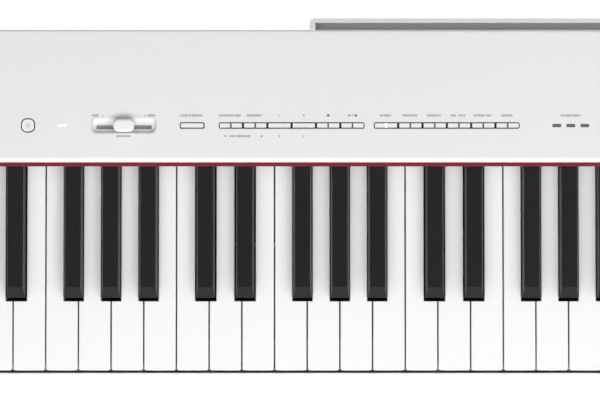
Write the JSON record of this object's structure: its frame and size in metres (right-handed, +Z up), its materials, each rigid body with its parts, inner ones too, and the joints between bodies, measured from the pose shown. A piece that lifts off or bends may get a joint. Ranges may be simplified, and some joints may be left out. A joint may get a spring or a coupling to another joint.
{
  "type": "digital piano on stand",
  "caption": "White slab digital piano with weighted keys, sliding volume control, push buttons and a music-rest groove, bolted to a panel stand.",
  "frame": {"origin": "on the floor under the middle of the piano", "axes": "+X right along the keyboard, -Y towards the player, +Z up"},
  "size_m": [1.326, 0.35, 0.767],
  "materials": {
    "case_plastic": "satin white",
    "natural_plastic": "gloss white",
    "sharp_plastic": "satin black with a fine grain",
    "button_plastic": "satin white",
    "trim_plastic": "gloss white",
    "lamp_plastic": "smoked lens",
    "red_felt": "wool felt",
    "grey_felt": "wool felt",
    "frame_steel": "black coated",
    "plated_steel": "zinc plated",
    "hammer_steel": "black oxide",
    "circuit_board": "green solder mask",
    "speaker_parts": "black",
    "socket_plastic": "black",
    "foot_rubber": "matte",
    "stand_board": "white laminate"
  },
  "bodies": {
    "piano": {"bottom_case": "case_plastic", "case_screws": "plated_steel", "rubber_feet": "foot_rubber", "top_panel": "case_plastic", "end_cheeks": "case_plastic", "key_slip": "case_plastic", "felt_strip": "red_felt", "key_frame": "frame_steel", "pivot_bars": "plated_steel", "stop_felts": "grey_felt", "circuit_boards": "circuit_board", "speakers": "speaker_parts", "jacks": "socket_plastic", "lamps": "lamp_plastic", "slider_bezel": "trim_plastic", "left_side_panel": "stand_board", "right_side_panel": "stand_board", "back_board": "stand_board", "stand_bolts": "plated_steel", "floor_glides": "foot_rubber"},
    "volume_knob": {"volume_knob": "trim_plastic"},
    "power_button": {"power_button": "button_plastic"},
    "song_button": {"song_button": "button_plastic"},
    "metronome_button": {"metronome_button": "button_plastic"},
    "rhythm_button": {"rhythm_button": "button_plastic"},
    "minus_button": {"minus_button": "button_plastic"},
    "plus_button": {"plus_button": "button_plastic"},
    "record_button": {"record_button": "button_plastic"},
    "play_stop_button": {"play_stop_button": "button_plastic"},
    "grand_voice_button": {"grand_voice_button": "button_plastic"},
    "electric_voice_button": {"electric_voice_button": "button_plastic"},
    "organ_voice_button": {"organ_voice_button": "button_plastic"},
    "clavi_voice_button": {"clavi_voice_button": "button_plastic"},
    "strings_voice_button": {"strings_voice_button": "button_plastic"},
    "layer_voice_button": {"layer_voice_button": "button_plastic"},
    "c_keys": {"c_keys": "natural_plastic"},
    "c_hammers": {"c_hammers": "hammer_steel"},
    "c_sharp_keys": {"c_sharp_keys": "sharp_plastic"},
    "c_sharp_hammers": {"c_sharp_hammers": "hammer_steel"},
    "d_keys": {"d_keys": "natural_plastic"},
    "d_hammers": {"d_hammers": "hammer_steel"},
    "d_sharp_keys": {"d_sharp_keys": "sharp_plastic"},
    "d_sharp_hammers": {"d_sharp_hammers": "hammer_steel"},
    "e_keys": {"e_keys": "natural_plastic"},
    "e_hammers": {"e_hammers": "hammer_steel"},
    "f_keys": {"f_keys": "natural_plastic"},
    "f_hammers": {"f_hammers": "hammer_steel"},
    "f_sharp_keys": {"f_sharp_keys": "sharp_plastic"},
    "f_sharp_hammers": {"f_sharp_hammers": "hammer_steel"},
    "g_keys": {"g_keys": "natural_plastic"},
    "g_hammers": {"g_hammers": "hammer_steel"},
    "g_sharp_keys": {"g_sharp_keys": "sharp_plastic"},
    "g_sharp_hammers": {"g_sharp_hammers": "hammer_steel"},
    "a_keys": {"a_keys": "natural_plastic"},
    "a_hammers": {"a_hammers": "hammer_steel"},
    "a_sharp_keys": {"a_sharp_keys": "sharp_plastic"},
    "a_sharp_hammers": {"a_sharp_hammers": "hammer_steel"},
    "b_keys": {"b_keys": "natural_plastic"},
    "b_hammers": {"b_hammers": "hammer_steel"}
  },
  "joints": [
    {"name": "volume_slide", "type": "slide", "parent": "piano", "child": "volume_knob", "axis": [1, 0, 0], "range_m": [-0.015, 0.015]},
    {"name": "power_press", "type": "slide", "parent": "piano", "child": "power_button", "axis": [0, 0, -1], "range_m": [0, 0.0012], "stiffness_N_per_m": 100, "springref_m": -0.004},
    {"name": "song_press", "type": "slide", "parent": "piano", "child": "song_button", "axis": [0, 0, -1], "range_m": [0, 0.0008], "stiffness_N_per_m": 100, "springref_m": -0.004},
    {"name": "metronome_press", "type": "slide", "parent": "piano", "child": "metronome_button", "axis": [0, 0, -1], "range_m": [0, 0.0008], "stiffness_N_per_m": 100, "springref_m": -0.004},
    {"name": "rhythm_press", "type": "slide", "parent": "piano", "child": "rhythm_button", "axis": [0, 0, -1], "range_m": [0, 0.0008], "stiffness_N_per_m": 100, "springref_m": -0.004},
    {"name": "minus_press", "type": "slide", "parent": "piano", "child": "minus_button", "axis": [0, 0, -1], "range_m": [0, 0.0008], "stiffness_N_per_m": 100, "springref_m": -0.004},
    {"name": "plus_press", "type": "slide", "parent": "piano", "child": "plus_button", "axis": [0, 0, -1], "range_m": [0, 0.0008], "stiffness_N_per_m": 100, "springref_m": -0.004},
    {"name": "record_press", "type": "slide", "parent": "piano", "child": "record_button", "axis": [0, 0, -1], "range_m": [0, 0.0008], "stiffness_N_per_m": 100, "springref_m": -0.004},
    {"name": "play_stop_press", "type": "slide", "parent": "piano", "child": "play_stop_button", "axis": [0, 0, -1], "range_m": [0, 0.0008], "stiffness_N_per_m": 100, "springref_m": -0.004},
    {"name": "grand_voice_press", "type": "slide", "parent": "piano", "child": "grand_voice_button", "axis": [0, 0, -1], "range_m": [0, 0.0008], "stiffness_N_per_m": 100, "springref_m": -0.004},
    {"name": "electric_voice_press", "type": "slide", "parent": "piano", "child": "electric_voice_button", "axis": [0, 0, -1], "range_m": [0, 0.0008], "stiffness_N_per_m": 100, "springref_m": -0.004},
    {"name": "organ_voice_press", "type": "slide", "parent": "piano", "child": "organ_voice_button", "axis": [0, 0, -1], "range_m": [0, 0.0008], "stiffness_N_per_m": 100, "springref_m": -0.004},
    {"name": "clavi_voice_press", "type": "slide", "parent": "piano", "child": "clavi_voice_button", "axis": [0, 0, -1], "range_m": [0, 0.0008], "stiffness_N_per_m": 100, "springref_m": -0.004},
    {"name": "strings_voice_press", "type": "slide", "parent": "piano", "child": "strings_voice_button", "axis": [0, 0, -1], "range_m": [0, 0.0008], "stiffness_N_per_m": 100, "springref_m": -0.004},
    {"name": "layer_voice_press", "type": "slide", "parent": "piano", "child": "layer_voice_button", "axis": [0, 0, -1], "range_m": [0, 0.0008], "stiffness_N_per_m": 100, "springref_m": -0.004},
    {"name": "c_press", "type": "hinge", "parent": "piano", "child": "c_keys", "pos_m": [0, 0.092, 0.722], "axis": [1, 0, 0], "range_deg": [0, 2.8], "stiffness_Nm_per_rad": 4, "springref_deg": -17.19},
    {"name": "c_hammer_throw", "type": "hinge", "parent": "piano", "child": "c_hammers", "pos_m": [0, -0.022, 0.682], "axis": [1, 0, 0], "range_deg": [0, 12.4]},
    {"name": "c_sharp_press", "type": "hinge", "parent": "piano", "child": "c_sharp_keys", "pos_m": [0, 0.092, 0.722], "axis": [1, 0, 0], "range_deg": [0, 2.8], "stiffness_Nm_per_rad": 4, "springref_deg": -17.19},
    {"name": "c_sharp_hammer_throw", "type": "hinge", "parent": "piano", "child": "c_sharp_hammers", "pos_m": [0, -0.022, 0.682], "axis": [1, 0, 0], "range_deg": [0, 12.4]},
    {"name": "d_press", "type": "hinge", "parent": "piano", "child": "d_keys", "pos_m": [0, 0.092, 0.722], "axis": [1, 0, 0], "range_deg": [0, 2.8], "stiffness_Nm_per_rad": 4, "springref_deg": -17.19},
    {"name": "d_hammer_throw", "type": "hinge", "parent": "piano", "child": "d_hammers", "pos_m": [0, -0.022, 0.682], "axis": [1, 0, 0], "range_deg": [0, 12.4]},
    {"name": "d_sharp_press", "type": "hinge", "parent": "piano", "child": "d_sharp_keys", "pos_m": [0, 0.092, 0.722], "axis": [1, 0, 0], "range_deg": [0, 2.8], "stiffness_Nm_per_rad": 4, "springref_deg": -17.19},
    {"name": "d_sharp_hammer_throw", "type": "hinge", "parent": "piano", "child": "d_sharp_hammers", "pos_m": [0, -0.022, 0.682], "axis": [1, 0, 0], "range_deg": [0, 12.4]},
    {"name": "e_press", "type": "hinge", "parent": "piano", "child": "e_keys", "pos_m": [0, 0.092, 0.722], "axis": [1, 0, 0], "range_deg": [0, 2.8], "stiffness_Nm_per_rad": 4, "springref_deg": -17.19},
    {"name": "e_hammer_throw", "type": "hinge", "parent": "piano", "child": "e_hammers", "pos_m": [0, -0.022, 0.682], "axis": [1, 0, 0], "range_deg": [0, 12.4]},
    {"name": "f_press", "type": "hinge", "parent": "piano", "child": "f_keys", "pos_m": [0, 0.092, 0.722], "axis": [1, 0, 0], "range_deg": [0, 2.8], "stiffness_Nm_per_rad": 4, "springref_deg": -17.19},
    {"name": "f_hammer_throw", "type": "hinge", "parent": "piano", "child": "f_hammers", "pos_m": [0, -0.022, 0.682], "axis": [1, 0, 0], "range_deg": [0, 12.4]},
    {"name": "f_sharp_press", "type": "hinge", "parent": "piano", "child": "f_sharp_keys", "pos_m": [0, 0.092, 0.722], "axis": [1, 0, 0], "range_deg": [0, 2.8], "stiffness_Nm_per_rad": 4, "springref_deg": -17.19},
    {"name": "f_sharp_hammer_throw", "type": "hinge", "parent": "piano", "child": "f_sharp_hammers", "pos_m": [0, -0.022, 0.682], "axis": [1, 0, 0], "range_deg": [0, 12.4]},
    {"name": "g_press", "type": "hinge", "parent": "piano", "child": "g_keys", "pos_m": [0, 0.092, 0.722], "axis": [1, 0, 0], "range_deg": [0, 2.8], "stiffness_Nm_per_rad": 4, "springref_deg": -17.19},
    {"name": "g_hammer_throw", "type": "hinge", "parent": "piano", "child": "g_hammers", "pos_m": [0, -0.022, 0.682], "axis": [1, 0, 0], "range_deg": [0, 12.4]},
    {"name": "g_sharp_press", "type": "hinge", "parent": "piano", "child": "g_sharp_keys", "pos_m": [0, 0.092, 0.722], "axis": [1, 0, 0], "range_deg": [0, 2.8], "stiffness_Nm_per_rad": 4, "springref_deg": -17.19},
    {"name": "g_sharp_hammer_throw", "type": "hinge", "parent": "piano", "child": "g_sharp_hammers", "pos_m": [0, -0.022, 0.682], "axis": [1, 0, 0], "range_deg": [0, 12.4]},
    {"name": "a_press", "type": "hinge", "parent": "piano", "child": "a_keys", "pos_m": [0, 0.092, 0.722], "axis": [1, 0, 0], "range_deg": [0, 2.8], "stiffness_Nm_per_rad": 4, "springref_deg": -17.19},
    {"name": "a_hammer_throw", "type": "hinge", "parent": "piano", "child": "a_hammers", "pos_m": [0, -0.022, 0.682], "axis": [1, 0, 0], "range_deg": [0, 12.4]},
    {"name": "a_sharp_press", "type": "hinge", "parent": "piano", "child": "a_sharp_keys", "pos_m": [0, 0.092, 0.722], "axis": [1, 0, 0], "range_deg": [0, 2.8], "stiffness_Nm_per_rad": 4, "springref_deg": -17.19},
    {"name": "a_sharp_hammer_throw", "type": "hinge", "parent": "piano", "child": "a_sharp_hammers", "pos_m": [0, -0.022, 0.682], "axis": [1, 0, 0], "range_deg": [0, 12.4]},
    {"name": "b_press", "type": "hinge", "parent": "piano", "child": "b_keys", "pos_m": [0, 0.092, 0.722], "axis": [1, 0, 0], "range_deg": [0, 2.8], "stiffness_Nm_per_rad": 4, "springref_deg": -17.19},
    {"name": "b_hammer_throw", "type": "hinge", "parent": "piano", "child": "b_hammers", "pos_m": [0, -0.022, 0.682], "axis": [1, 0, 0], "range_deg": [0, 12.4]}
  ],
  "couplings": [
    {"joint": "c_hammer_throw", "follows": "c_press", "ratio": 4.4},
    {"joint": "c_sharp_hammer_throw", "follows": "c_sharp_press", "ratio": 4.4},
    {"joint": "d_hammer_throw", "follows": "d_press", "ratio": 4.4},
    {"joint": "d_sharp_hammer_throw", "follows": "d_sharp_press", "ratio": 4.4},
    {"joint": "e_hammer_throw", "follows": "e_press", "ratio": 4.4},
    {"joint": "f_hammer_throw", "follows": "f_press", "ratio": 4.4},
    {"joint": "f_sharp_hammer_throw", "follows": "f_sharp_press", "ratio": 4.4},
    {"joint": "g_hammer_throw", "follows": "g_press", "ratio": 4.4},
    {"joint": "g_sharp_hammer_throw", "follows": "g_sharp_press", "ratio": 4.4},
    {"joint": "a_hammer_throw", "follows": "a_press", "ratio": 4.4},
    {"joint": "a_sharp_hammer_throw", "follows": "a_sharp_press", "ratio": 4.4},
    {"joint": "b_hammer_throw", "follows": "b_press", "ratio": 4.4}
  ]
}
